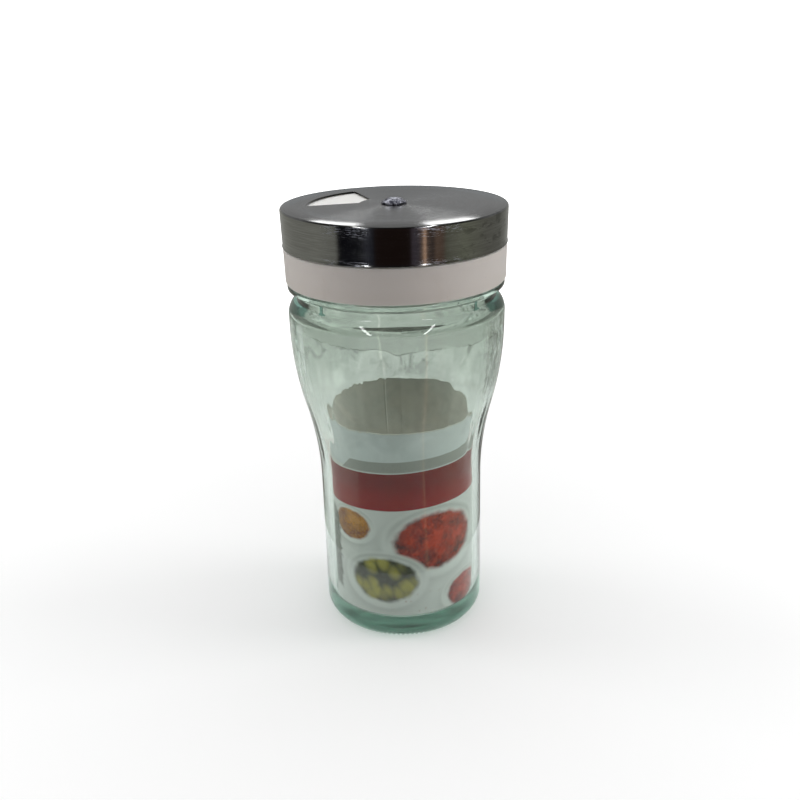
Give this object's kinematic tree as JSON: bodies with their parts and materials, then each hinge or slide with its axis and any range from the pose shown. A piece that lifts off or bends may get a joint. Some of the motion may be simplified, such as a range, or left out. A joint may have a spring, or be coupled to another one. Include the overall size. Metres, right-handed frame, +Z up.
{
  "type": "spice jar",
  "caption": "Waisted glass spice jar with a screw-on shaker lid, a turning steel cover with a fan-shaped window, and a rolled paper label inside the glass.",
  "frame": {"origin": "centre of the resting face, on the jar's axis", "axes": "+Z up along the jar's axis, -Y to the front that faces the viewer, +X to the viewer's right"},
  "size_m": [0.063, 0.063, 0.129],
  "materials": {
    "green_glass": "clear with a slight green tint, gently wavy inside",
    "label_paper": "matte printed paper",
    "white_plastic": "semi-gloss moulded",
    "brushed_steel": "brushed in circles on top and around the side",
    "bright_steel": "polished",
    "liner_foam": "matte"
  },
  "bodies": {
    "jar": {"glass_jar": "green_glass", "label_sleeve": "label_paper"},
    "seal": {"liner_ring": "liner_foam"},
    "cap": {"shaker_cap": "white_plastic", "rivet": "bright_steel", "rivet_washer": "bright_steel"},
    "cover": {"steel_cover": "brushed_steel"}
  },
  "joints": [
    {"name": "lid_lift", "type": "slide", "parent": "jar", "child": "seal", "axis": [0, 0, 1], "range_m": [0, 0.0085]},
    {"name": "lid_turn", "type": "hinge", "parent": "seal", "child": "cap", "pos_m": [0, 0, 0.1251], "axis": [0, 0, 1], "range_deg": [0, 720]},
    {"name": "cover_turn", "type": "hinge", "parent": "cap", "child": "cover", "pos_m": [0, 0, 0.127], "axis": [0, 0, 1], "continuous": true}
  ],
  "couplings": [
    {"joint": "lid_lift", "follows": "lid_turn", "m_per_rad": 0.00067376}
  ]
}
